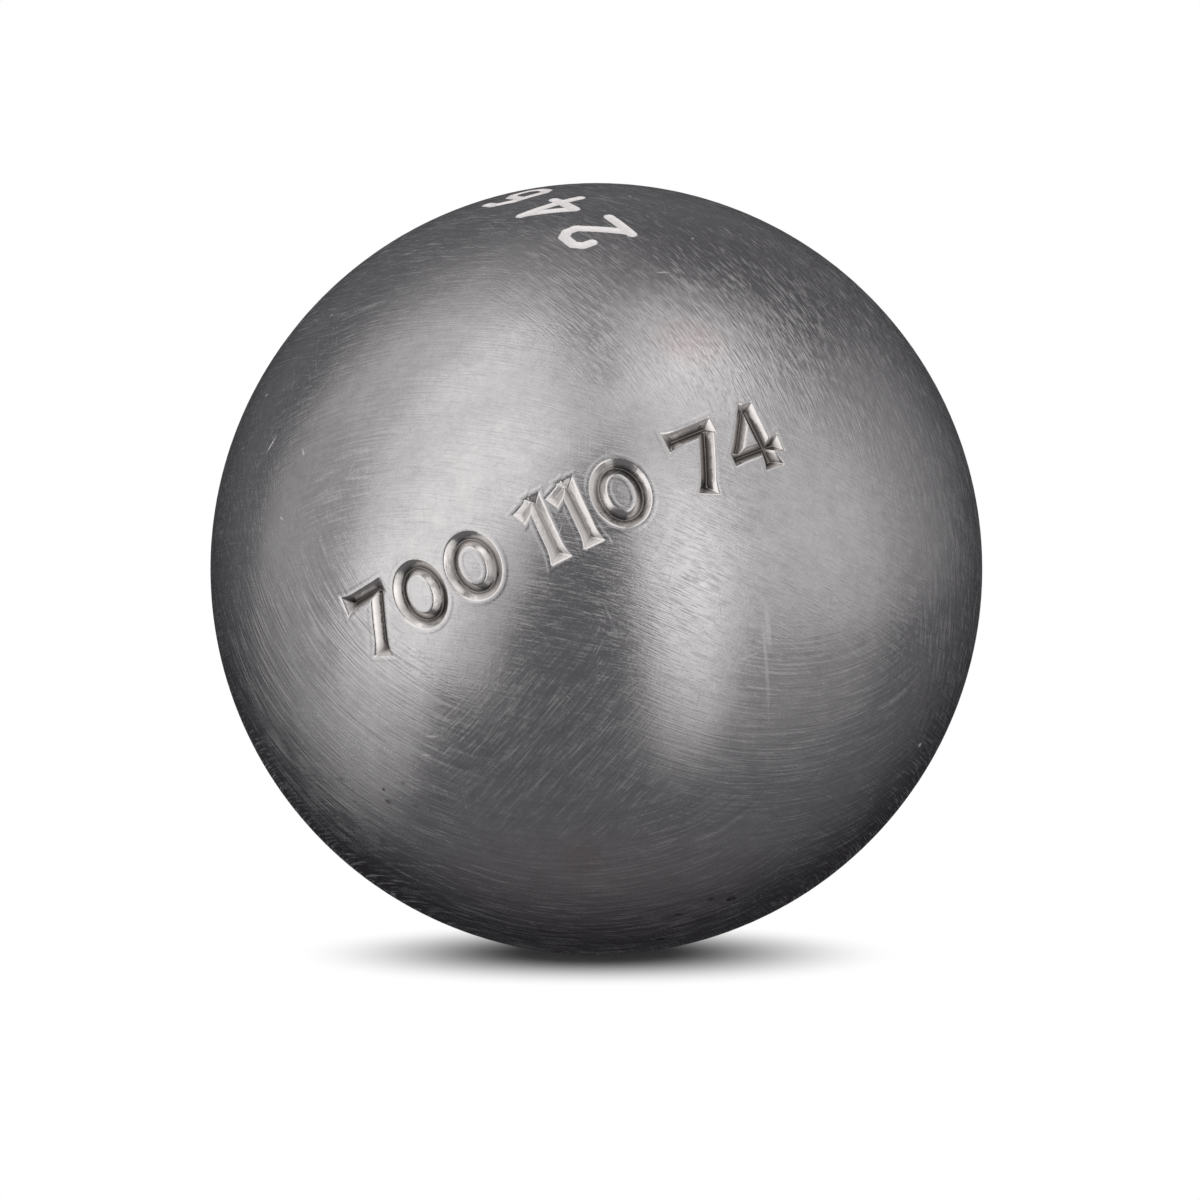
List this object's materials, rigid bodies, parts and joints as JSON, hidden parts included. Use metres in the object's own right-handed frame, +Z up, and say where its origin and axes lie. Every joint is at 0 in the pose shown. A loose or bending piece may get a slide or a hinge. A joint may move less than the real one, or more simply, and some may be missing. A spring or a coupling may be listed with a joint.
{
  "type": "petanque boule",
  "caption": "Hollow steel petanque ball: forged half shells joined by a weld round the equator, turned round and satin brushed, for throwing and rolling.",
  "frame": {"origin": "centre of the ball", "axes": "+Z up, along the axis that both half shells are turned about, so the weld lies in the XY plane; the stamped face looks along -Y"},
  "size_m": [0.074, 0.074, 0.074],
  "materials": {
    "satin_steel": "satin, belt brushed in crossing arcs",
    "weld_steel": "turned and brushed flush with the shells"
  },
  "bodies": {
    "root": {"upper_half_shell": "satin_steel", "lower_half_shell": "satin_steel", "weld_bead": "weld_steel"}
  },
  "joints": []
}
